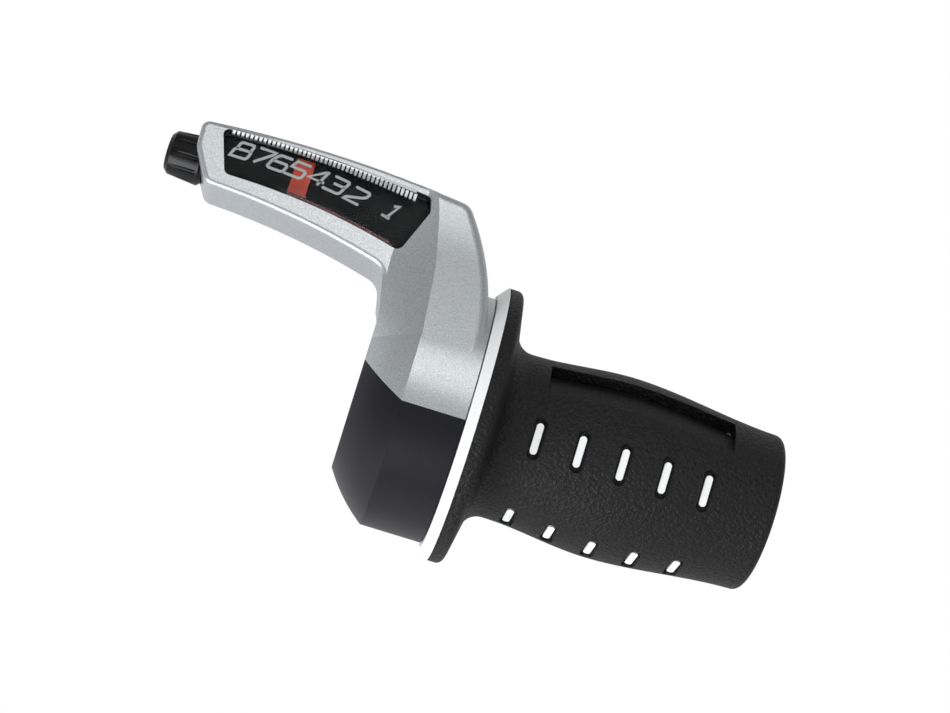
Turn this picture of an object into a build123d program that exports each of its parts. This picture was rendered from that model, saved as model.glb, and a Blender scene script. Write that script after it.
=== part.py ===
from build123d import *
from math import atan2, cos, degrees, pi, radians, sin, sqrt, tan
import os

# Twist grip shifter for the right-hand end of a flat handlebar, in millimetres.
# X runs along the bar towards the grip's outer end, Y points forwards to the display arm and
# Z points up. The origin is on the bar's axis, where the fixed housing meets the turning grip.

os.makedirs("parts", exist_ok=True)

# How a round or square piece lies on its point: standing up from it, or hanging below it
standing = (Align.CENTER, Align.CENTER, Align.MIN)
hanging = (Align.CENTER, Align.CENTER, Align.MAX)

# Handlebar and the general fits
bar_diameter = 22.2
bar_clearance = 0.1
core_clearance = 0.5
turning_clearance = 0.15
running_gap = 0.3
seat_gap = 0.05
wall = 1.6

# Round housing about the bar
housing_length = 22.5
housing_radius = 27.0
bevel_length = 9.3
bevel_end_radius = 17.2
bevel_swell = 0.65
sleeve_wall = 1.5
sleeve_length = 10.3
parting_angle = 18.0
parting_rise = 1.65
parting_lift = 6.95

# Forward trunk and display arm
arm_top = 17.6
arm_bottom = 5.3
arm_reach = 69.9
arm_front = 42.8
arm_back = 26.4
trunk_lean = 15.0
trunk_flat_y = 28.0
trunk_front_height = 18.0
facet_swell = 0.75
facet_foot_x = -23.5
ridge_radius = 1.1
shoulder_radius = 2.2
tray_floor = 1.4
tray_depth = 3.6
tray_lip = 2.2

# Display window, lens and dial
sweep_centre_x = -58.7
window_foot_y = 31.0
window_inner_radius = 137.0
window_left = -65.0
window_right = -18.5
window_back_edge = 41.3
window_crown_radius = 350.0
lens_clearance = 0.12
lens_rise = 0.6
lens_bevel = 0.8
lens_depth = 2.25
rib_pitch = 0.95
rib_width = 0.5
rib_length = 0.7
rib_crown_x = -50.2
rib_crown_y = 40.95
rib_crown_radius = 217.0
dial_thickness = 0.8
pointer_width = 3.9
pointer_length = 8.6
pointer_x = -46.5
pointer_foot = 31.6
pointer_thickness = 0.5
strip_width = 2.0
strip_tail_angle = 14.2

# Barrel adjuster
adjuster_y = 34.8
adjuster_z = 10.3
adjuster_radius = 5.3
adjuster_tip_radius = 4.7
adjuster_start = -67.1
adjuster_end = -74.9
adjuster_flutes = 10
flute_radius = 0.8
adjuster_stem_radius = 2.4
adjuster_stem_length = 7.8
cable_housing_radius = 2.5
cable_housing_clearance = 0.05
cable_housing_depth = 6.0
cable_hole_radius = 1.1
boss_width = 8.4
boss_top = 13.2
boss_seat = 0.4
boss_seat_length = 2.2
tray_wall = 1.15

# Turning grip
grip_length = 67.8
ring_width = 2.05
ring_front_radius = 27.8
flange_radius = 30.1
flange_rim = 3.0
neck_radius = 18.1
neck_x = 11.5
belly_radius = 19.85
belly_x = 34.0
end_radius = 17.15
core_radius = 15.2
core_wall = 1.65
hub_radius = 14.9
grip_end_wall = 1.5
slot_first_x = 15.7
slot_pitch = 9.1
slot_count = 5
slot_length = 9.8
slot_width = 3.4
slot_depth = 1.4
slot_taper = 25.0
dash_length = 6.6
dash_width = 1.5
dash_sink = 0.75
panel_angle = -36.3
panel_half_angle = 13.7
panel_left = 15.3
panel_right = 56.0
panel_depth = 2.1
row_near_angle = 48.1
row_side_angle = 117.0

# Inner mechanism
spool_drum_radius = 16.0
spool_flange_radius = 19.6
spool_flange = 1.2
notch_radius = 1.1
spring_width = 3.0
spring_post_y = 10.2
leaf_thickness = 0.5
end_plate_thickness = 2.0
clamp_inset = 7.7
clamp_width = 5.2
clamp_wall = 1.7
clamp_slot = 2.4
clamp_lug_x = 4.4
clamp_lug_y = 8.8
clamp_lug_z = -20.6
clamp_screw_z = -17.9
clamp_screw_radius = 1.5
clamp_head_radius = 2.75
clamp_head_height = 3.0
clamp_nut_across = 5.0
clamp_nut_height = 2.4
key_across = 2.5
guide_radius = 1.9
guide_bend = 9.0
hatch_x = -6.8
hatch_angle = 125.0
hatch_width = 6.0
hatch_length = 11.0
end_disc_step = 0.8
spring_post_width = 2.0
cover_screw_radius = 1.0
cover_screw_head = 2.0
cover_screw_head_height = 1.1
cover_screw_length = 7.0
cover_post_radius = 1.8

# Places worked out from the sizes above
bore_radius = bar_diameter / 2 + bar_clearance
core_bore_radius = bar_diameter / 2 + core_clearance
sweep_centre_y = window_foot_y - window_inner_radius
clamp_x = -housing_length + clamp_inset
sleeve_radius = bore_radius + sleeve_wall
inner_radius = housing_radius - wall
bevel_slope = atan2(housing_radius - bevel_end_radius, bevel_length)
bevel_x = bevel_length - housing_length
root_y = housing_radius * sin(radians(trunk_lean))
root_z = housing_radius * cos(radians(trunk_lean))
trunk_right = -0.6
trunk_left = -housing_length - 1.8
lens_bottom = arm_top - lens_depth
pointer_top = lens_bottom - running_gap
dial_top = pointer_top - pointer_thickness - running_gap
core_tube_radius = core_bore_radius + core_wall
core_start = -housing_length + sleeve_length + 0.5
flange_x = 0.25
rubber_x = flange_x + ring_width
spool_start = core_start + 0.4
wheel_width = 3.4
spring_x = spool_start + wheel_width / 2
boss_end = adjuster_start + adjuster_stem_length + running_gap


def trunk_height(y):
    """Height of the straight part of the trunk's top above the bar's axis."""
    return root_z - (y - root_y) * tan(radians(trunk_lean))


def round_corner(x, y, radius):
    """Round the corner of the open sketch that lies nearest to a point."""
    fillet(vertices().sort_by_distance((x, y))[0], radius)


def barrel_form(inset):
    """The round body with its swelling bevel, drawn in by a wall thickness."""
    left = -housing_length + inset
    top = housing_radius - inset
    knee = bevel_x + inset * tan(bevel_slope / 2)
    end = bevel_end_radius - inset * tan((pi / 2 - bevel_slope) / 2)
    swell_x = (left + knee) / 2 - bevel_swell * sin(bevel_slope)
    swell_z = (top + end) / 2 + bevel_swell * cos(bevel_slope)
    with BuildPart() as form:
        with BuildSketch(Plane.XZ):
            with BuildLine():
                Line((left, 0), (left, end))
                ThreePointArc((left, end), (swell_x, swell_z), (knee, top))
                Polyline((knee, top), (0, top), (0, 0), (left, 0))
            make_face()
        revolve(axis=Axis.X)
    return form.part


def plan_outline(edge):
    """The plan of trunk and arm together, with its corners rounded."""
    with BuildSketch() as plan:
        add(edge)
        make_face()
        round_corner(*shoulder, 3.5)
        round_corner(*tip_front, 1.8)
        round_corner(*tip_back, 2.5)
        round_corner(*tip_side, 4)
        round_corner(*crook, 4.2)
    return plan.sketch


def hollow_outline(edge, inset):
    """The same plan in straight runs, drawn in by a wall thickness, for what lies inside."""
    with BuildSketch() as hollow:
        with BuildLine():
            Polyline(*[piece @ (i / 4) for piece in edge.edges() for i in range(4)], close=True)
        make_face()
        offset(amount=-inset, kind=Kind.INTERSECTION)
    return hollow.sketch


def facet_cutter(inset):
    """What the long facet takes off the trunk, from the crease down to the inboard wall.

    Its first station lies a little under the barrel's bevel, so the facet grows out of that.
    """
    stations = [
        (root_y - 0.2, -12.9, root_z + 0.15, -housing_length, 15.5, facet_swell),
        (18.0, -13.0, 23.5, facet_foot_x, 17.4, 0.4),
        (32.0, -14.6, 20.0, facet_foot_x, 17.5, -0.3),
        (48.0, -21.4, 18.3, facet_foot_x - 0.3, 17.5, 0.0),
    ]
    with BuildPart() as cutter:
        for y, crease_x, crease_z, foot_x, foot_z, bulge in stations:
            crease = Vector(crease_x + 0.7 * inset, crease_z - inset)
            foot = Vector(foot_x + 0.4 * inset, foot_z - inset)
            run = foot - crease
            middle = crease + run * 0.5 + Vector(run.Y, -run.X).normalized() * bulge
            beyond = foot + run * 0.6
            with BuildSketch(Plane.XZ.offset(-y)):
                with BuildLine():
                    Spline(crease, middle, foot)
                    Line(foot, beyond)
                    above = housing_radius * 1.5
                    Polyline(beyond, (beyond.X, above), (crease.X, above), crease)
                make_face()
        loft()
    return cutter.part


def trunk_form(plan, cutter, inset):
    """The trunk: its plan under a leaning top that leaves the round housing at a tangent."""
    depth = arm_reach + housing_radius
    with BuildPart() as form:
        with BuildSketch(Plane.XY.offset(arm_bottom)):
            add(plan)
            with Locations((trunk_left, 0)):
                Rectangle(100, 200, align=(Align.MIN, Align.CENTER), mode=Mode.INTERSECT)
        extrude(amount=housing_radius)
        with BuildSketch(Plane.YZ.offset(-depth)):
            with BuildLine():
                front = trunk_front_height - inset
                flat = (trunk_flat_y, trunk_height(trunk_flat_y) - inset)
                Line((root_y, root_z - inset), flat)
                TangentArc(flat, (46, front), tangent=(cos(radians(trunk_lean)), -sin(radians(trunk_lean))))
                Polyline((46, front), (46, 0), (0, 0), (0, root_z - inset), (root_y, root_z - inset))
            make_face()
        extrude(amount=depth, mode=Mode.INTERSECT)
        if not inset:
            shoulder_edges = edges().filter_by(
                lambda e: e.bounding_box().min.Z > arm_top
                and e.center().X > -10
                and e.bounding_box().size.Y > 5
                and e.center().Y > root_y + 5
            )
            fillet(shoulder_edges, shoulder_radius)
        add(cutter, mode=Mode.SUBTRACT)
    return form.part


def arm_form(plan, inset):
    """The arm: a flat-topped bar that carries the display, with rounded upper edges."""
    with BuildPart() as form:
        with BuildSketch(Plane.XY.offset(arm_bottom)):
            add(plan)
            with Locations((-18.0, 17.5)):
                Rectangle(100, 100, align=(Align.MAX, Align.MIN), mode=Mode.INTERSECT)
        extrude(amount=arm_top - inset - arm_bottom)
        if not inset:
            top_face = faces().sort_by(Axis.Z)[-1]
            ridge = top_face.edges().filter_by(lambda e: e.center().X < -22 and e.center().Y > 17.6)
            fillet(ridge, ridge_radius)
    return form.part


def cover_zone():
    """The space of the silver cover: above the arm's lower edge and ahead of the parting line."""
    lift_angle = radians(parting_angle)
    parting_plane = Plane(origin=(0, 0, 0), x_dir=(1, 0, 0), z_dir=(0, -sin(lift_angle), cos(lift_angle)))
    reach = arm_reach + housing_radius
    with BuildPart() as zone:
        with BuildSketch(parting_plane):
            with BuildLine():
                Line((reach, parting_rise), (bevel_x, parting_rise))
                ThreePointArc(
                    (bevel_x, parting_rise),
                    ((bevel_x - housing_length) / 2, (parting_rise + parting_lift) / 2 - 0.25),
                    (-housing_length, parting_lift),
                )
                Polyline((-housing_length, parting_lift), (-reach, parting_lift), (-reach, reach), (reach, reach))
                Line((reach, reach), (reach, parting_rise))
            make_face()
        extrude(amount=reach, both=True)
        with Locations((0, 0, arm_bottom)):
            Box(3 * reach, 3 * reach, reach, align=standing, mode=Mode.INTERSECT)
    return zone.part


def sweep_y(x, radius):
    """How far forward a circle about the pointer's sweep centre lies at a given x."""
    return sweep_centre_y + sqrt(radius**2 - (x - sweep_centre_x) ** 2)


def window_outline(growth):
    """The display window: two long arcs that follow the pointer's sweep, and slanting ends."""
    left_foot = (window_left + 3.3, sweep_y(window_left + 3.3, window_inner_radius))
    right_foot = (window_right - 3.9, sweep_y(window_right - 3.9, window_inner_radius))
    middle_x = (left_foot[0] + right_foot[0]) / 2
    right_side = (window_right, window_back_edge - 5.0)
    right_top = (window_right - 0.8, window_back_edge - 1.5)
    left_top = (window_left, window_back_edge - 21**2 / window_crown_radius / 2)
    with BuildSketch() as window:
        with BuildLine():
            ThreePointArc(left_foot, (middle_x, sweep_y(middle_x, window_inner_radius)), right_foot)
            Polyline(right_foot, right_side, right_top)
            ThreePointArc(right_top, (window_left + 21, window_back_edge), left_top)
            Line(left_top, left_foot)
        make_face()
        round_corner(*left_foot, 1.5)
        round_corner(*right_foot, 1.5)
        round_corner(*right_side, 2.0)
        round_corner(*right_top, 1.3)
        round_corner(*left_top, 1.2)
        if growth:
            offset(amount=growth, kind=Kind.ARC)
    return window.sketch


def sweep_band(inner, outer, start, end):
    """A flat band on the pointer's sweep, between two angles measured from straight ahead."""
    centre = (sweep_centre_x, sweep_centre_y)
    with BuildSketch() as band:
        with BuildLine():
            inner_arc = CenterArc(centre, inner, 90 - end, end - start)
            outer_arc = CenterArc(centre, outer, 90 - end, end - start)
            Line(inner_arc @ 0, outer_arc @ 0)
            Line(inner_arc @ 1, outer_arc @ 1)
        make_face()
    return band.sketch


def turn_disc(x_start, x_end, radius, y=0.0, z=0.0, mode=Mode.ADD):
    """Add or cut a plain round disc along the bar's direction in the open part."""
    with Locations(Plane(origin=(x_start, y, z), z_dir=(1, 0, 0))):
        Cylinder(radius, x_end - x_start, align=standing, mode=mode)


def turn_adjuster_disc(x_start, x_end, radius, mode=Mode.ADD):
    """The same, about the barrel adjuster's axis."""
    turn_disc(x_start, x_end, radius, adjuster_y, adjuster_z, mode)


def grip_radius(x):
    """Outer radius of the rubber: a smooth swell from neck to belly, then a taper to the end."""
    if x < belly_x:
        t = (x - neck_x) / (belly_x - neck_x)
        return neck_radius + (belly_radius - neck_radius) * t * t * (3 - 2 * t)
    t = (x - belly_x) / (grip_length - belly_x)
    return belly_radius + (end_radius - belly_radius) * t * t * (3 - 2 * t)


def swell(x_start, r_start, x_end, r_end):
    """The curve whose radius changes smoothly and runs level at both ends."""
    third = (x_end - x_start) / 3
    return Bezier((x_start, r_start), (x_start + third, r_start), (x_end - third, r_end), (x_end, r_end))


def around_bar(angle, x):
    """A plane on the bar's axis at x that faces outwards, turned back from straight up."""
    a = radians(angle)
    return Plane(origin=(x, 0, 0), x_dir=(1, 0, 0), z_dir=(0, -sin(a), cos(a)))


slot_rows = (row_near_angle, row_side_angle, 180, -row_side_angle, -row_near_angle)
screw_places = [(-12.3, 37.9), (-54.0, 40.0)]
post_heights = [13.6, 10.0]
tray_bottom = arm_bottom - tray_depth
tray_inside = tray_bottom + tray_floor

# Corners and edge of the plan
tip_front = (-arm_reach + 0.4, arm_front - 1.5)
tip_side = (-arm_reach + 0.8, 35.3)
tip_back = (-arm_reach + 4.9, arm_back + 1.6)
crook = (-housing_length - 2.0, arm_back - 4.6)
shoulder = (-10.9, arm_front - 1.9)
with BuildLine() as plan_edge:
    ThreePointArc((trunk_right, root_y), (-3.4, 26.0), shoulder)
    ThreePointArc(shoulder, (-44, arm_front), tip_front)
    Line(tip_front, tip_side)
    Line(tip_side, tip_back)
    ThreePointArc(tip_back, (-46, arm_back), crook)
    Line(crook, (-housing_length, 11.5))
    Line((-housing_length, 11.5), (-housing_length, root_y))
    Line((-housing_length, root_y), (trunk_right, root_y))

# Flat outlines
outer_plan = plan_outline(plan_edge.line)
inner_plan = hollow_outline(plan_edge.line, wall)
tray_plan = hollow_outline(plan_edge.line, wall + seat_gap)
tray_hollow_plan = hollow_outline(plan_edge.line, wall + seat_gap + tray_wall)
window_plan = window_outline(0)
lens_plan = window_outline(-lens_clearance)

# Outer and inner surfaces of the shell
outer_barrel = barrel_form(0)
outer_facet = facet_cutter(0)
outer_trunk = trunk_form(outer_plan, outer_facet, 0)
outer_arm = arm_form(outer_plan, 0)
inner_barrel = barrel_form(wall)
inner_facet = facet_cutter(wall)
inner_trunk = trunk_form(inner_plan, inner_facet, wall)
inner_arm = arm_form(inner_plan, wall)
zone = cover_zone()

with BuildPart() as skin:
    add(outer_barrel)
    add(outer_trunk)
    add(outer_arm)

with BuildPart() as cavity:
    add(inner_barrel)
    add(inner_trunk)
    add(inner_arm)

with BuildPart() as shell:
    add(skin.part)
    add(cavity.part, mode=Mode.SUBTRACT)
    turn_disc(-housing_length - 1, 1, bore_radius, mode=Mode.SUBTRACT)

# Floor under the arm with its lip, and the boss that takes the adjuster's stem
with BuildPart() as tray:
    with BuildSketch(Plane.XY.offset(tray_bottom)):
        add(tray_plan)
    extrude(amount=tray_depth + tray_lip)
    with BuildSketch(Plane.XY.offset(tray_inside)):
        add(tray_hollow_plan)
    extrude(amount=tray_depth + tray_lip, mode=Mode.SUBTRACT)
    with BuildSketch(Plane.XY.offset(tray_inside)):
        add(tray_plan)
        with Locations((boss_end + boss_seat_length, adjuster_y)):
            Rectangle(40, boss_width, align=(Align.MAX, Align.CENTER), mode=Mode.INTERSECT)
    extrude(amount=boss_top - tray_inside)
    add(inner_barrel, mode=Mode.SUBTRACT)

# Black housing: barrel, sleeve on the bar, tray and posts for the spring
with BuildPart() as housing:
    add(shell.part)
    add(zone, mode=Mode.SUBTRACT)
    turn_disc(-housing_length, -housing_length + wall, bevel_end_radius - end_disc_step)
    add(tray.part)
    turn_disc(-housing_length, -housing_length + sleeve_length, sleeve_radius)
    with Locations(*[(spring_x, side * spring_post_y, -spool_flange_radius - running_gap) for side in (-1, 1)]):
        Box(spring_width + 0.4, spring_post_width, housing_radius - spool_flange_radius - wall / 2 - 1.5,
            align=hanging)
    turn_disc(-housing_length - 1, 1, bore_radius, mode=Mode.SUBTRACT)
    turn_adjuster_disc(adjuster_end, adjuster_start + boss_seat, adjuster_radius + running_gap, mode=Mode.SUBTRACT)
    turn_adjuster_disc(adjuster_start, boss_end, adjuster_stem_radius + turning_clearance, mode=Mode.SUBTRACT)
    turn_adjuster_disc(boss_end - 1, boss_end + 5, guide_radius + seat_gap, mode=Mode.SUBTRACT)
    with Locations((clamp_x, 0, 0)):
        Box(clamp_width + 2, clamp_slot, housing_radius / 2, align=hanging,
            mode=Mode.SUBTRACT)
    with Locations(Plane(origin=(clamp_x, 0, clamp_screw_z), z_dir=(0, 1, 0))):
        Cylinder(clamp_head_radius + 0.4, 40, align=standing, mode=Mode.SUBTRACT)
    with Locations(*[(x, y, tray_bottom) for x, y in screw_places]):
        Cylinder(cover_screw_radius + turning_clearance, 12, mode=Mode.SUBTRACT)
    with Locations(*[(x, y, tray_inside) for x, y in screw_places]):
        Cylinder(cover_post_radius + running_gap, 12, align=standing,
                 mode=Mode.SUBTRACT)
    with Locations(around_bar(hatch_angle, hatch_x)):
        Box(hatch_width, hatch_length, housing_radius, align=standing,
            mode=Mode.SUBTRACT)

# Silver cover over the barrel's front and the arm
with BuildPart() as top_cover:
    add(shell.part)
    add(zone, mode=Mode.INTERSECT)
    turn_disc(-housing_length - 1, -housing_length + wall, bevel_end_radius - end_disc_step + seat_gap,
              mode=Mode.SUBTRACT)
    for (x, y), height in zip(screw_places, post_heights):
        with Locations((x, y, tray_inside + seat_gap)):
            Cylinder(cover_post_radius, height, align=standing)
            Cylinder(cover_screw_radius, cover_screw_length, align=standing,
                     mode=Mode.SUBTRACT)
    with BuildSketch(Plane.XY.offset(dial_top - dial_thickness - seat_gap)):
        add(window_plan)
    extrude(amount=10, mode=Mode.SUBTRACT)
    turn_adjuster_disc(adjuster_end, adjuster_start + boss_seat, adjuster_radius + running_gap, mode=Mode.SUBTRACT)
    turn_adjuster_disc(adjuster_start, boss_end, adjuster_stem_radius + turning_clearance, mode=Mode.SUBTRACT)

# Rubber plug that closes the port through which a new cable is fed
with BuildPart() as cable_hatch:
    turn_disc(hatch_x - hatch_width, hatch_x + hatch_width, housing_radius + 0.5)
    turn_disc(hatch_x - hatch_width, hatch_x + hatch_width, inner_radius, mode=Mode.SUBTRACT)
    with Locations(around_bar(hatch_angle, hatch_x)):
        Box(hatch_width - 2 * seat_gap, hatch_length - 2 * seat_gap, 2 * housing_radius,
            align=standing, mode=Mode.INTERSECT)

# Clear lens with a bevelled rim and a comb of fine ribs along its forward bevel
rib_count = int((window_right - window_left - 5.5) / rib_pitch)
with BuildPart() as display_lens:
    with BuildSketch(Plane.XY.offset(lens_bottom)):
        add(lens_plan)
    extrude(amount=lens_depth + lens_rise)
    chamfer(faces().sort_by(Axis.Z)[-1].edges(), lens_bevel)
    with BuildSketch(Plane.XY.offset(arm_top - 0.3)):
        for i in range(rib_count):
            rib_x = window_left + 2.5 + i * rib_pitch
            rib_y = rib_crown_y - (rib_x - rib_crown_x) ** 2 / (2 * rib_crown_radius)
            with Locations((rib_x, rib_y)):
                Rectangle(rib_width, rib_length * (1 + i / rib_count), align=(Align.CENTER, Align.MAX))
    extrude(amount=0.3 + lens_rise - 0.05)

# Black backing behind the pointer
with BuildPart() as dial_plate:
    with BuildSketch(Plane.XY.offset(dial_top - dial_thickness)):
        add(lens_plan)
    extrude(amount=dial_thickness)

# Pointer with its drive strip, which follows the curve of the arm
strip_start = degrees(atan2(pointer_x - pointer_width / 2 - sweep_centre_x, pointer_foot - sweep_centre_y))
strip_inner = window_inner_radius - 0.4
strip_plan = sweep_band(strip_inner, strip_inner + strip_width, strip_start, strip_tail_angle)
with BuildPart() as indicator_pointer:
    with BuildSketch(Plane.XY.offset(pointer_top - pointer_thickness)):
        with Locations((pointer_x, pointer_foot)):
            Rectangle(pointer_width, pointer_length, align=(Align.CENTER, Align.MIN))
        add(strip_plan)
    extrude(amount=pointer_thickness)

# Barrel adjuster with its socket for the cable housing
with BuildPart() as barrel_adjuster:
    with BuildSketch(Plane.XZ.offset(-adjuster_y)):
        with BuildLine():
            Polyline(
                (adjuster_start, adjuster_z),
                (adjuster_start, adjuster_z + adjuster_radius - 0.4),
                (adjuster_start - 0.4, adjuster_z + adjuster_radius),
                (adjuster_end + 0.9, adjuster_z + adjuster_tip_radius),
                (adjuster_end, adjuster_z + adjuster_tip_radius - 0.9),
                (adjuster_end, adjuster_z),
                (adjuster_start, adjuster_z),
            )
        make_face()
    revolve(axis=Axis((0, adjuster_y, adjuster_z), (1, 0, 0)))
    with BuildSketch(Plane.YZ.offset(adjuster_end - 1)):
        with Locations((adjuster_y, adjuster_z)):
            with PolarLocations(adjuster_radius + 0.25, adjuster_flutes):
                Circle(flute_radius)
    extrude(amount=adjuster_start - adjuster_end + 1 - 0.9, mode=Mode.SUBTRACT)
    turn_adjuster_disc(adjuster_start, adjuster_start + adjuster_stem_length, adjuster_stem_radius)
    turn_adjuster_disc(adjuster_end, adjuster_end + cable_housing_depth, cable_housing_radius + cable_housing_clearance,
                       mode=Mode.SUBTRACT)
    turn_adjuster_disc(adjuster_end, 0, cable_hole_radius, mode=Mode.SUBTRACT)

# Thin washer between the adjuster and its seat in the tray
with BuildPart() as adjuster_washer:
    turn_adjuster_disc(adjuster_start, adjuster_start + boss_seat, adjuster_radius - 0.6)
    turn_adjuster_disc(adjuster_start, adjuster_start + boss_seat, adjuster_stem_radius + turning_clearance,
                       mode=Mode.SUBTRACT)

# Guide tube that turns the cable from the arm down to the spool
with BuildPart() as cable_guide:
    with BuildLine() as guide_path:
        FilletPolyline(
            (boss_end, adjuster_y, adjuster_z),
            (-8.5, adjuster_y, adjuster_z),
            (-8.5, 21.5, adjuster_z),
            radius=guide_bend,
        )
    with BuildSketch(Plane(origin=guide_path.line @ 0, z_dir=guide_path.line % 0)):
        Circle(guide_radius)
        Circle(cable_hole_radius, mode=Mode.SUBTRACT)
    sweep()

# Clamp band with two lugs, its screw and its nut
clamp_cross = Plane(origin=(clamp_x, 0, clamp_screw_z), x_dir=(1, 0, 0), z_dir=(0, 1, 0))
lug_face = clamp_lug_y / 2
with BuildPart() as clamp_band:
    turn_disc(clamp_x - clamp_width / 2, clamp_x + clamp_width / 2, sleeve_radius + clamp_wall)
    turn_disc(clamp_x - clamp_width / 2, clamp_x + clamp_width / 2, sleeve_radius + seat_gap, mode=Mode.SUBTRACT)
    with Locations((clamp_x, 0, clamp_lug_z)):
        Box(clamp_lug_x, clamp_lug_y, -clamp_lug_z - sleeve_radius - clamp_wall / 2,
            align=standing)
    with Locations((clamp_x, 0, 0)):
        Box(clamp_width, clamp_slot, housing_radius, align=hanging, mode=Mode.SUBTRACT)
    with BuildSketch(clamp_cross):
        Circle(clamp_screw_radius + seat_gap)
    extrude(amount=lug_face, both=True, mode=Mode.SUBTRACT)

with BuildPart() as clamp_screw:
    with BuildSketch(clamp_cross.offset(-lug_face - clamp_nut_height - 0.6)):
        Circle(clamp_screw_radius)
    extrude(amount=clamp_lug_y + clamp_nut_height + 0.6)
    with BuildSketch(clamp_cross.offset(lug_face)):
        Circle(clamp_head_radius)
    extrude(amount=clamp_head_height)
    with BuildSketch(clamp_cross.offset(lug_face + clamp_head_height)):
        RegularPolygon(key_across / 2, 6, major_radius=False)
    extrude(amount=-clamp_head_height * 0.6, mode=Mode.SUBTRACT)

with BuildPart() as clamp_nut:
    with BuildSketch(clamp_cross.offset(-lug_face)):
        RegularPolygon(clamp_nut_across / 2, 6, major_radius=False)
        Circle(clamp_screw_radius + seat_gap, mode=Mode.SUBTRACT)
    extrude(amount=-clamp_nut_height)

# Two screws that hold the cover down from under the tray
with BuildPart() as cover_screw_inner:
    with Locations((*screw_places[0], tray_bottom)):
        Cylinder(cover_screw_radius - seat_gap, cover_screw_length, align=standing)
        Cylinder(cover_screw_head, cover_screw_head_height, align=hanging)

with BuildPart() as cover_screw_outer:
    with Locations((*screw_places[1], tray_bottom)):
        Cylinder(cover_screw_radius - seat_gap, cover_screw_length, align=standing)
        Cylinder(cover_screw_head, cover_screw_head_height, align=hanging)

# Plate that closes the housing beside the grip's flange
with BuildPart() as end_plate:
    turn_disc(-end_plate_thickness, 0, inner_radius - seat_gap)
    turn_disc(-end_plate_thickness, 0, hub_radius + running_gap, mode=Mode.SUBTRACT)

# Washer between the fixed sleeve and the turning core
with BuildPart() as thrust_washer:
    turn_disc(-housing_length + sleeve_length, core_start - 0.1, sleeve_radius)
    turn_disc(-housing_length + sleeve_length, core_start, core_bore_radius, mode=Mode.SUBTRACT)

# Open ring that keeps the spool on the core
with BuildPart() as spool_clip:
    turn_disc(core_start, spool_start, core_tube_radius + 1.4)
    turn_disc(core_start, spool_start, core_tube_radius + seat_gap, mode=Mode.SUBTRACT)
    with Locations((spool_start, 0, core_tube_radius)):
        Box(2, 4, 4, mode=Mode.SUBTRACT)

# Leaf spring with a pressed nose that drops into the spool's notches
leaf_top = -spool_flange_radius - 0.55
leaf_half = spring_post_y - 1.05
with BuildPart() as detent_spring:
    with BuildSketch(Plane.YZ.offset(spring_x - spring_width / 2)):
        with BuildLine():
            crest = Polyline((-leaf_half, leaf_top), (-1.7, leaf_top), (0, leaf_top + 1.3), (1.7, leaf_top),
                             (leaf_half, leaf_top))
            Polyline(crest @ 1, (leaf_half, leaf_top - leaf_thickness), (1.5, leaf_top - leaf_thickness),
                     (0, leaf_top + 1.3 - 1.2 * leaf_thickness), (-1.5, leaf_top - leaf_thickness),
                     (-leaf_half, leaf_top - leaf_thickness), crest @ 0)
        make_face()
    extrude(amount=spring_width)

# White grip core: hub, flange with its bevelled ring, tube and raised dashes
with BuildPart() as grip_core:
    with BuildSketch(Plane.XZ):
        with BuildLine():
            Polyline(
                (core_start, core_bore_radius),
                (core_start, core_tube_radius),
                (-end_plate_thickness - 0.4, core_tube_radius),
                (-end_plate_thickness - 0.4, hub_radius),
                (flange_x, hub_radius),
                (flange_x, ring_front_radius),
                (rubber_x, flange_radius + 0.1),
                (rubber_x, core_radius),
                (grip_length - grip_end_wall, core_radius),
                (grip_length - grip_end_wall, core_bore_radius),
                (core_start, core_bore_radius),
            )
        make_face()
    revolve(axis=Axis.X)
    for i in range(slot_count):
        x = slot_first_x + i * slot_pitch
        with BuildSketch(*[around_bar(panel_angle + turn, x).offset(core_radius - 0.5) for turn in slot_rows]):
            SlotOverall(dash_length, dash_width, rotation=90)
        extrude(amount=grip_radius(x) - dash_sink - core_radius + 0.5)

# Black rubber over the core, with slots for the dashes and a sunk panel
with BuildPart() as panel_tool:
    with Locations(around_bar(panel_angle, panel_left)):
        Box(panel_right - panel_left, 2 * belly_radius * sin(radians(panel_half_angle)), flange_radius,
            align=(Align.MIN, Align.CENTER, Align.MIN))

with BuildPart() as panel_floor:
    with BuildSketch(Plane.XZ):
        with BuildLine():
            Line((neck_x, 0), (neck_x, neck_radius))
            swell(neck_x, neck_radius, belly_x, belly_radius)
            swell(belly_x, belly_radius, grip_length, end_radius)
            Polyline((grip_length, end_radius), (grip_length, 0), (neck_x, 0))
        make_face()
    revolve(axis=Axis.X)

# The floor sinks away from the panel's near edge, so that its far edge is a deep lip
sink_direction = radians(panel_angle - panel_half_angle - 90 + 2 * panel_half_angle)
sink = panel_depth / sin(radians(2 * panel_half_angle))
with BuildPart() as panel_cut:
    add(panel_tool.part)
    with Locations((0, sin(sink_direction) * sink, -cos(sink_direction) * sink)):
        add(panel_floor.part, mode=Mode.SUBTRACT)

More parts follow.
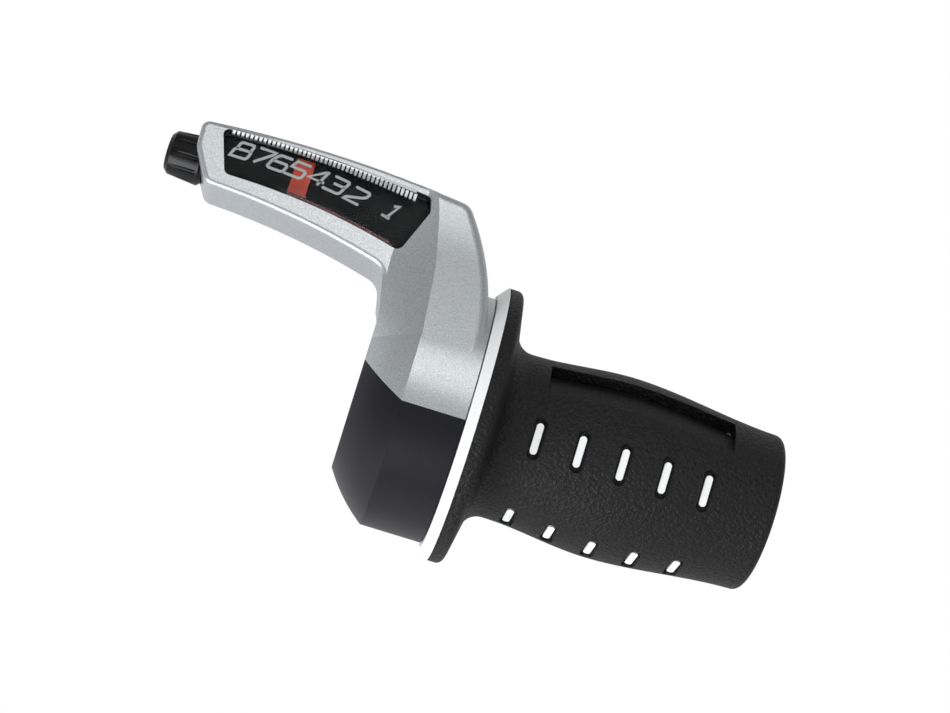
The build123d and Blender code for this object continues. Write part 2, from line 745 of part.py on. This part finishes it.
with BuildPart() as grip_rubber:
    with BuildSketch(Plane.XZ):
        with BuildLine():
            rim_x = rubber_x + flange_rim
            Polyline((rubber_x, core_radius), (rubber_x, flange_radius), (rim_x, flange_radius),
                     (rim_x + 2.4, neck_radius), (neck_x, neck_radius))
            swell(neck_x, neck_radius, belly_x, belly_radius)
            swell(belly_x, belly_radius, grip_length, end_radius)
            Polyline((grip_length, end_radius), (grip_length, core_bore_radius + 0.3),
                     (grip_length - grip_end_wall, core_bore_radius + 0.3),
                     (grip_length - grip_end_wall, core_radius), (rubber_x, core_radius))
        make_face()
        round_corner(rubber_x, flange_radius, 0.4)
        round_corner(rim_x, flange_radius, 1.4)
        round_corner(rim_x + 2.4, neck_radius, 4.0)
        round_corner(grip_length, end_radius, 1.6)
    revolve(axis=Axis.X)
    add(panel_cut.part, mode=Mode.SUBTRACT)
    for i in range(slot_count):
        x = slot_first_x + i * slot_pitch
        with BuildSketch(*[around_bar(panel_angle + turn, x).offset(grip_radius(x) + 0.4) for turn in slot_rows]):
            SlotOverall(slot_length, slot_width, rotation=90)
        extrude(amount=-slot_depth - 0.4, taper=slot_taper, mode=Mode.SUBTRACT)
        with BuildSketch(*[around_bar(panel_angle + turn, x).offset(core_radius - 1) for turn in slot_rows]):
            SlotOverall(dash_length, dash_width, rotation=90)
        extrude(amount=grip_radius(x) - core_radius, mode=Mode.SUBTRACT)

# Spool that winds the cable, with the notched wheel of the click stops
gear_travel = (-12.0, -7.8, -3.9, 0.0, 4.2, 8.5, 13.2, 21.0)
travel_radius = 18.0
with BuildPart() as cable_spool:
    with BuildSketch(Plane.XZ):
        with BuildLine():
            spool_end = -end_plate_thickness - 0.45
            Polyline(
                (spool_start, core_tube_radius + seat_gap),
                (spool_start, spool_flange_radius),
                (spool_start + wheel_width, spool_flange_radius),
                (spool_start + wheel_width, spool_drum_radius),
                (spool_end - spool_flange, spool_drum_radius),
                (spool_end - spool_flange, spool_flange_radius),
                (spool_end, spool_flange_radius),
                (spool_end, core_tube_radius + seat_gap),
                (spool_start, core_tube_radius + seat_gap),
            )
        make_face()
    revolve(axis=Axis.X)
    notch_reach = spool_flange_radius + 0.35
    notch_turns = [pi - travel / travel_radius for travel in gear_travel]
    with BuildSketch(Plane.YZ.offset(spool_start - 0.5)):
        with Locations(*[(-notch_reach * sin(turn), notch_reach * cos(turn)) for turn in notch_turns]):
            Circle(notch_radius + 0.35)
    extrude(amount=wheel_width + 1, mode=Mode.SUBTRACT)

nodes = {
    "housing": housing,
    "top_cover": top_cover,
    "display_lens": display_lens,
    "dial_plate": dial_plate,
    "indicator_pointer": indicator_pointer,
    "barrel_adjuster": barrel_adjuster,
    "adjuster_washer": adjuster_washer,
    "cable_guide": cable_guide,
    "clamp_band": clamp_band,
    "clamp_screw": clamp_screw,
    "clamp_nut": clamp_nut,
    "cover_screw_inner": cover_screw_inner,
    "cover_screw_outer": cover_screw_outer,
    "cable_hatch": cable_hatch,
    "end_plate": end_plate,
    "detent_spring": detent_spring,
    "grip_core": grip_core,
    "grip_rubber": grip_rubber,
    "cable_spool": cable_spool,
    "spool_clip": spool_clip,
    "thrust_washer": thrust_washer,
}
for name, node in nodes.items():
    node.part.label = name
    export_step(node.part, f"parts/{name}.step")
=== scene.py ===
from math import cos, radians, sin

import bpy
from mathutils import Matrix, Vector


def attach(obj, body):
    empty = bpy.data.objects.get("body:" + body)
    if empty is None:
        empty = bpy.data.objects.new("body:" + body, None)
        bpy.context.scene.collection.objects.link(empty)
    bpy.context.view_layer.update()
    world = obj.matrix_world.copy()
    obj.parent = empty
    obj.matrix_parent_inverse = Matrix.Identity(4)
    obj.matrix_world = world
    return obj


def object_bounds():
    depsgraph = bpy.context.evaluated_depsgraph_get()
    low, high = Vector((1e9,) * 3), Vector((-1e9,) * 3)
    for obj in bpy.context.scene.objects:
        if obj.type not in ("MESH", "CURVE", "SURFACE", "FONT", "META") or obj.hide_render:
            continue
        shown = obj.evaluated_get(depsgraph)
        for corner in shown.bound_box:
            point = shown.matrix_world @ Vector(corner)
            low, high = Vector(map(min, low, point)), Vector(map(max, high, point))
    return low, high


# A twist grip shifter, dressed for the photograph. Lengths are in metres, in the CAD's frame:
# +X along the handlebar to its end, +Y forwards to the display arm, +Z up. Where a value or a
# group of values is in millimetres, it is multiplied by MM.

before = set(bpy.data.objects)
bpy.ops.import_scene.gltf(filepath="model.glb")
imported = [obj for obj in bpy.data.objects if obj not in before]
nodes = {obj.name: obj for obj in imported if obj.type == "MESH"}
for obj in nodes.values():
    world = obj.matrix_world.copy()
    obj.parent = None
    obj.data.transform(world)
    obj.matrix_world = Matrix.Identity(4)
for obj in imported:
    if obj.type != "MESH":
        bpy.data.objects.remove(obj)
cad_low, cad_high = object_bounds()

MM = 0.001

# The photograph's view: direction from the object to the camera, its roll, place and lens
image_width = 950
view_azimuth = radians(-10.4)
view_elevation = radians(72.0)
view_roll = radians(27.2)
camera_place = Vector((-23.04, -109.92, 390.28)) * MM
focal_pixels = 1910
sensor_width = 36.0
nearest_shown = 0.01
farthest_shown = 20.0

back = Vector((
    sin(view_azimuth) * cos(view_elevation),
    -cos(view_azimuth) * cos(view_elevation),
    sin(view_elevation),
))
level_right = Vector((cos(view_azimuth), sin(view_azimuth), 0))
level_up = back.cross(level_right)
right = level_right * cos(view_roll) + level_up * sin(view_roll)
up = level_up * cos(view_roll) - level_right * sin(view_roll)

camera_data = bpy.data.cameras.new("camera")
camera_data.sensor_width = sensor_width
camera_data.lens = sensor_width * focal_pixels / image_width
camera_data.clip_start = nearest_shown
camera_data.clip_end = farthest_shown
camera = bpy.data.objects.new("camera", camera_data)
bpy.context.scene.collection.objects.link(camera)
camera.matrix_world = Matrix.Translation(camera_place) @ Matrix((right, up, back)).transposed().to_4x4()
bpy.context.scene.camera = camera
bpy.context.scene.view_settings.view_transform = "Standard"

# The pointer's sweep: its centre and the outer edge of the strip that carries the pointer, inside which the
# pointer is painted darker as shade
sweep_centre = Vector((-58.7, -106.0)) * MM
shaded_strip_edge = 138.9 * MM


def new_material(name):
    """An empty node material and its tree."""
    material = bpy.data.materials.new(name)
    material.use_nodes = True
    return material, material.node_tree


def shader(tree):
    """The tree's principled shader."""
    return tree.nodes["Principled BSDF"]


def settings(node, values):
    """Set a node's inputs by their names."""
    for name, value in values.items():
        node.inputs[name].default_value = value


def shade(colour, factor):
    """A darker or lighter tone of a colour."""
    return tuple(min(c * factor, 1.0) for c in colour)


def noise(tree, scale, detail=2.0, roughness=0.5):
    """Noise in the object's own coordinates, so that it doesn't depend on the view."""
    place = tree.nodes.new("ShaderNodeTexCoord")
    texture = tree.nodes.new("ShaderNodeTexNoise")
    settings(texture, {"Scale": scale, "Detail": detail, "Roughness": roughness})
    tree.links.new(place.outputs["Object"], texture.inputs["Vector"])
    return texture.outputs["Fac"]


def ramp(tree, source, low, high, low_colour, high_colour):
    """A blend between two colours as a value goes from low to high."""
    blend = tree.nodes.new("ShaderNodeValToRGB")
    blend.color_ramp.elements[0].position = low
    blend.color_ramp.elements[1].position = high
    blend.color_ramp.elements[0].color = (*low_colour, 1)
    blend.color_ramp.elements[1].color = (*high_colour, 1)
    tree.links.new(source, blend.inputs["Fac"])
    return blend.outputs["Color"]


def bump(tree, source, distance, strength=1.0):
    """Small relief on the surface."""
    relief = tree.nodes.new("ShaderNodeBump")
    settings(relief, {"Strength": strength, "Distance": distance})
    tree.links.new(source, relief.inputs["Height"])
    return relief.outputs["Normal"]


def plain(name, colour, roughness, metallic=0.0, grain=0.0, grain_scale=3000.0, specular=0.5, contrast=0.13):
    """A solid-coloured surface whose fine grain varies its shade, and its relief where grain is given."""
    material, tree = new_material(name)
    surface = shader(tree)
    settings(surface, {"Metallic": metallic, "Roughness": roughness, "Specular IOR Level": specular})
    darker, lighter = shade(colour, 1 - contrast), shade(colour, 1 + contrast)
    fine = noise(tree, grain_scale)
    mottled = ramp(tree, fine, low=0.3, high=0.7, low_colour=darker, high_colour=lighter)
    tree.links.new(mottled, surface.inputs["Base Color"])
    if grain:
        tree.links.new(bump(tree, fine, grain), surface.inputs["Normal"])
    return material


def flake_paint(name, colour):
    """Silver metallic paint: a fine sparkle of flakes under a satin clear coat."""
    material, tree = new_material(name)
    surface = shader(tree)
    settings(surface, {"Metallic": 0.6, "Roughness": 0.36, "Coat Weight": 0.25, "Coat Roughness": 0.25})
    darker, lighter = shade(colour, 0.72), shade(colour, 1.35)
    flakes = noise(tree, scale=5200, detail=3.0, roughness=0.7)
    sparkle = ramp(tree, flakes, low=0.35, high=0.65, low_colour=darker, high_colour=lighter)
    tree.links.new(sparkle, surface.inputs["Base Color"])
    tree.links.new(bump(tree, flakes, distance=0.02 * MM, strength=0.5), surface.inputs["Normal"])
    return material


def clear_plastic(name):
    """Clear plastic: light goes straight through it, and it mirrors more at a glancing angle."""
    material, tree = new_material(name)
    tree.nodes.remove(shader(tree))
    through = tree.nodes.new("ShaderNodeBsdfTransparent")
    settings(through, {"Color": (0.93, 0.95, 0.95, 1)})
    gloss = tree.nodes.new("ShaderNodeBsdfGlossy")
    settings(gloss, {"Roughness": 0.04})
    edge = tree.nodes.new("ShaderNodeFresnel")
    settings(edge, {"IOR": 1.12})
    mix = tree.nodes.new("ShaderNodeMixShader")
    tree.links.new(edge.outputs["Fac"], mix.inputs["Fac"])
    tree.links.new(through.outputs["BSDF"], mix.inputs[1])
    tree.links.new(gloss.outputs["BSDF"], mix.inputs[2])
    tree.links.new(mix.outputs["Shader"], tree.nodes["Material Output"].inputs["Surface"])
    return material


def pointer_paint(name, bright, dark):
    """Orange-red for the pointer, and a darker red as painted shade on the strip that carries it along its
    sweep.
    """
    material, tree = new_material(name)
    surface = shader(tree)
    settings(surface, {"Roughness": 0.4})
    centre = nodes["indicator_pointer"].matrix_world.inverted() @ sweep_centre.to_3d()
    place = tree.nodes.new("ShaderNodeTexCoord")
    flat = tree.nodes.new("ShaderNodeVectorMath")
    flat.operation = "MULTIPLY"
    flat.inputs[1].default_value = (1, 1, 0)
    reach = tree.nodes.new("ShaderNodeVectorMath")
    reach.operation = "DISTANCE"
    reach.inputs[1].default_value = (centre.x, centre.y, 0)
    above = tree.nodes.new("ShaderNodeMath")
    above.operation = "GREATER_THAN"
    above.inputs[1].default_value = shaded_strip_edge
    tree.links.new(place.outputs["Object"], flat.inputs[0])
    tree.links.new(flat.outputs["Vector"], reach.inputs[0])
    tree.links.new(reach.outputs["Value"], above.inputs[0])
    # Painted shade: the darker red inside the strip's edge
    paint = ramp(tree, above.outputs["Value"], low=0.0, high=1.0, low_colour=dark, high_colour=bright)
    tree.links.new(paint, surface.inputs["Base Color"])
    return material


# Depth of the grain on hard plastic, and of the leathery grain on rubber
plastic_grain = 0.02 * MM
rubber_grain = 0.6 * MM

silver = flake_paint("silver_paint", (0.46, 0.485, 0.495))
black_plastic = plain(
    "black_plastic", (0.006, 0.006, 0.0095), 0.38, grain=plastic_grain, grain_scale=2600, specular=0.3)
adjuster_black = plain("adjuster_black", (0.002, 0.002, 0.0025), 0.3, grain=plastic_grain, specular=0.25)
rubber = plain(
    "grip_rubber", (0.007, 0.007, 0.0065), 0.5, grain=rubber_grain, grain_scale=1300, specular=0.27)
white = plain("white_plastic", (0.93, 0.94, 0.93), 0.32, contrast=0.02)
# The second red is painted shade on the pointer's foot along its strip
pointer_red = pointer_paint("pointer_red", (0.74, 0.06, 0.02), (0.16, 0.012, 0.01))
dial_black = plain("dial_black", (0.005, 0.006, 0.006), 0.55, specular=0.12)
grey_plastic = plain("grey_plastic", (0.32, 0.33, 0.35), 0.4)
steel = plain("plated_steel", (0.62, 0.62, 0.62), 0.3, metallic=1.0)
black_steel = plain("blackened_steel", (0.012, 0.012, 0.013), 0.4, specular=0.3)
spring_steel = plain("spring_steel", (0.5, 0.5, 0.52), 0.25, metallic=1.0)
clear = clear_plastic("clear_plastic")
# Painted highlights: white for the comb's ribs and rim skin on the clear lens
comb_highlight = plain("comb_highlight", (0.9, 0.93, 0.93), 0.25, contrast=0.05)
print_grey = plain("printed_numbers", (0.36, 0.38, 0.38), 0.5)

finishes = {
    "housing": black_plastic,
    "top_cover": silver,
    "display_lens": clear,
    "dial_plate": dial_black,
    "indicator_pointer": pointer_red,
    "barrel_adjuster": adjuster_black,
    "adjuster_washer": adjuster_black,
    "cable_guide": grey_plastic,
    "clamp_band": steel,
    "clamp_screw": steel,
    "clamp_nut": steel,
    "cover_screw_inner": black_steel,
    "cover_screw_outer": black_steel,
    "cable_hatch": rubber,
    "end_plate": black_plastic,
    "detent_spring": spring_steel,
    "thrust_washer": white,
    "grip_core": white,
    "grip_rubber": rubber,
    "cable_spool": grey_plastic,
    "spool_clip": steel,
}
for name, material in finishes.items():
    slots = nodes[name].data.materials
    slots.clear()
    slots.append(material)


def new_piece(name, vertices, faces, material):
    """A linked object of one mesh and one material."""
    mesh = bpy.data.meshes.new(name)
    mesh.from_pydata(vertices, [], faces)
    mesh.materials.append(material)
    piece = bpy.data.objects.new(name, mesh)
    bpy.context.scene.collection.objects.link(piece)
    return piece


# Numbers printed on the lens: strokes of one width, squared and slanting, on the pointer's sweep.
# A digit's strokes are drawn in a box that is about digit_width wide and 1 high.
print_height = 18.22 * MM
digit_height = 3.45 * MM
digit_width = 0.9
digit_spread = 1.17
stroke_width = 0.6 * MM
slant = 0.36
narrowest_mitre = 0.6
strokes = {
    "8": [
        [(0, 0), (0.78, 0), (0.86, 0.12), (0.86, 0.46), (0.76, 0.54), (0.08, 0.54), (0, 0.42), (0, 0)],
        [(0.14, 0.54), (0.08, 0.62), (0.08, 0.9), (0.16, 1), (0.74, 1), (0.8, 0.9), (0.8, 0.62),
         (0.76, 0.54)],
    ],
    "7": [
        [(0, 1), (0.86, 1), (0.8, 0.82), (0.2, 0)],
    ],
    "6": [
        [(0.86, 1), (0.24, 1), (0.1, 0.86), (0, 0.5), (0, 0.1), (0.1, 0), (0.76, 0), (0.86, 0.1),
         (0.86, 0.42), (0.76, 0.54), (0.04, 0.54)],
    ],
    "5": [
        [(0.86, 1), (0.12, 1), (0.04, 0.56), (0.74, 0.56), (0.86, 0.46), (0.86, 0.1), (0.76, 0),
         (-0.06, 0)],
    ],
    "4": [
        [(0.72, 0), (0.72, 1.08)],
        [(0.64, 1), (0.06, 0.28), (0.94, 0.28)],
    ],
    "3": [
        [(0.02, 1), (0.78, 1), (0.86, 0.9), (0.86, 0.62), (0.76, 0.54), (0.24, 0.54)],
        [(0.76, 0.54), (0.86, 0.44), (0.86, 0.1), (0.76, 0), (-0.06, 0)],
    ],
    "2": [
        [(0.02, 1), (0.78, 1), (0.86, 0.9), (0.86, 0.66), (0.72, 0.52), (0.04, 0.16), (0, 0), (0.86, 0)],
    ],
    "1": [
        [(-0.06, 0.84), (0.16, 1), (0.16, 0)],
        [(-0.14, 0), (0.34, 0)],
    ],
}
# Middle of each digit seen from above, in millimetres
digit_places = {
    "8": (-59.4, 36.8),
    "7": (-55.1, 36.8),
    "6": (-51.4, 36.6),
    "5": (-47.4, 36.4),
    "4": (-43.1, 36.2),
    "3": (-38.8, 35.7),
    "2": (-34.1, 34.8),
    "1": (-24.9, 33.5),
}


def ribbon(path, width):
    """Vertices and faces of a flat stroke of one width along a path, with mitred corners."""
    points = [Vector(p) for p in path]
    closed = path[0] == path[-1]
    if closed:
        points = points[:-1]
    count = len(points)
    vertices = []
    for i, point in enumerate(points):
        before = points[i - 1] if closed or i else None
        after = points[(i + 1) % count] if closed or i < count - 1 else None
        way_in = (point - before).normalized() if before is not None else None
        way_out = (after - point).normalized() if after is not None else None
        way_in = way_in or way_out
        way_out = way_out or way_in
        side = Vector((-way_in.y - way_out.y, way_in.x + way_out.x)).normalized()
        reach = width / 2 / max(side.dot(Vector((-way_in.y, way_in.x))), narrowest_mitre)
        vertices += [point + side * reach, point - side * reach]
    spans = count if closed else count - 1
    faces = [(2 * i, 2 * i + 1, (2 * i + 3) % (2 * count), (2 * i + 2) % (2 * count)) for i in range(spans)]
    return vertices, faces


def number(name, middle):
    """One printed number as a flat mesh, upright against the pointer's sweep."""
    outward = (middle - sweep_centre).normalized()
    along = Vector((outward.y, -outward.x))
    vertices, faces = [], []
    for path in strokes[name]:
        drawn = []
        for x, y in path:
            shift = (x - digit_width / 2) * digit_height * digit_spread + (y - 0.5) * digit_height * slant
            drawn.append((shift, (y - 0.5) * digit_height))
        flat, quads = ribbon(drawn, stroke_width)
        start = len(vertices)
        for p in flat:
            at = middle + along * p.x + outward * p.y
            vertices.append((at.x, at.y, print_height))
        faces += [tuple(start + i for i in quad) for quad in quads]
    piece = new_piece(f"number_{name}", vertices, faces, print_grey)
    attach(piece, "housing")


for name, place in digit_places.items():
    number(name, Vector(place) * MM)

# Comb of fine ribs along the lens's forward bevel, over the ones in the CAD, in millimetres: white prisms as
# painted highlights on the clear ribs.
# A rib narrows to comb_taper of its width at the rear. The last one is about twice as long as the first.
comb_first_x = -62.5
comb_pitch = 0.95
comb_count = 43
comb_crown = Vector((-50.2, 40.95))
comb_radius = 217.0
comb_width = 0.66
comb_taper = 0.8
comb_length = 0.75
comb_base = 17.6
comb_top = 18.2
comb_overlap = 0.02

# Painted highlight along the lens's polished forward bevel in front of the comb, as a thin white skin, in
# millimetres
rim_crown = Vector((-44.0, 41.15))
rim_radius = 350.0
rim_height = 17.45
rim_least_depth = 0.02
rim_steps = 24

# A box's faces, from four corners below and the same four above
box_faces = ((3, 2, 1, 0), (4, 5, 6, 7), (0, 1, 5, 4), (1, 2, 6, 5), (2, 3, 7, 6), (3, 0, 4, 7))


def bow(x, crown, radius):
    """How far forward a shallow bow reaches at x, from its foremost point and its radius."""
    return crown.y - (x - crown.x) ** 2 / (2 * radius)


def comb_ribs():
    """Vertices and faces of the comb's ribs, which are white as painted highlights."""
    vertices, faces = [], []
    for i in range(comb_count):
        x = comb_first_x + i * comb_pitch
        front = bow(x, comb_crown, comb_radius) + comb_overlap
        rear = front - comb_length * (1 + i / comb_count)
        start = len(vertices)
        for z in (comb_base, comb_top):
            for side, y in ((-1, front), (1, front), (comb_taper, rear), (-comb_taper, rear)):
                vertices.append(Vector((x + side * comb_width / 2, y, z)) * MM)
        faces += [tuple(start + k for k in quad) for quad in box_faces]
    return vertices, faces


def rim_highlight():
    """Vertices and faces of the painted highlight skin that rises from the lens's front edge back to the
    comb.
    """
    vertices = []
    for i in range(rim_steps + 1):
        x = comb_first_x + i * (comb_count - 1) * comb_pitch / rim_steps
        front = bow(x, rim_crown, rim_radius)
        rear = min(bow(x, comb_crown, comb_radius), front - rim_least_depth)
        for y in (front, rear):
            vertices.append(Vector((x, y, rim_height + front - y)) * MM)
    faces = [tuple(2 * i + k for k in (1, 0, 2, 3)) for i in range(rim_steps)]
    return vertices, faces


comb_vertices, comb_faces = comb_ribs()
rim_vertices, rim_faces = rim_highlight()
rim_start = len(comb_vertices)
comb_faces += [tuple(rim_start + k for k in quad) for quad in rim_faces]
# The comb and its rim skin, white as painted highlights on the clear lens
comb = new_piece("lens_comb", comb_vertices + rim_vertices, comb_faces, comb_highlight)
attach(comb, "housing")


def floor_paint(name):
    """White to the camera, and a pale matt surface to the light."""
    material, tree = new_material(name)
    settings(shader(tree), {"Base Color": (0.8, 0.8, 0.8, 1), "Roughness": 0.8})
    glow = tree.nodes.new("ShaderNodeEmission")
    settings(glow, {"Strength": 1.0})
    seen = tree.nodes.new("ShaderNodeLightPath")
    mix = tree.nodes.new("ShaderNodeMixShader")
    tree.links.new(seen.outputs["Is Camera Ray"], mix.inputs["Fac"])
    tree.links.new(shader(tree).outputs["BSDF"], mix.inputs[1])
    tree.links.new(glow.outputs["Emission"], mix.inputs[2])
    tree.links.new(mix.outputs["Shader"], tree.nodes["Material Output"].inputs["Surface"])
    return material


# Floor: a large square a little below the part
half_floor = 3.0
floor_height = cad_low.z - 20 * MM
corner_signs = ((-1, -1), (1, -1), (1, 1), (-1, 1))
floor_corners = [(x * half_floor, y * half_floor, floor_height) for x, y in corner_signs]
floor = new_piece("floor", floor_corners, [(0, 1, 2, 3)], floor_paint("floor"))

# Soft studio light: a pale world and three square lights that face the part's middle
world = bpy.data.worlds.new("studio")
world.use_nodes = True
settings(world.node_tree.nodes["Background"], {"Color": (1, 1, 1, 1), "Strength": 0.28})
bpy.context.scene.world = world

part_middle = (cad_low + cad_high) / 2


def area_light(name, place, size, power, colour=(1, 1, 1)):
    """A soft square light that faces the part's middle."""
    data = bpy.data.lights.new(name, "AREA")
    data.color = colour
    data.size = size
    data.energy = power
    light = bpy.data.objects.new(name, data)
    light.location = Vector(place)
    light.rotation_mode = "QUATERNION"
    light.rotation_quaternion = (part_middle - light.location).to_track_quat("-Z", "Y")
    bpy.context.scene.collection.objects.link(light)


area_light("key", place=(-0.45, -0.75, 0.38), size=0.6, power=9.0, colour=(0.94, 0.95, 1.0))
area_light("top", place=(0.1, 0.4, 0.9), size=0.7, power=3.2)
area_light("fill", place=(0.7, -0.4, 0.5), size=0.6, power=1.4)
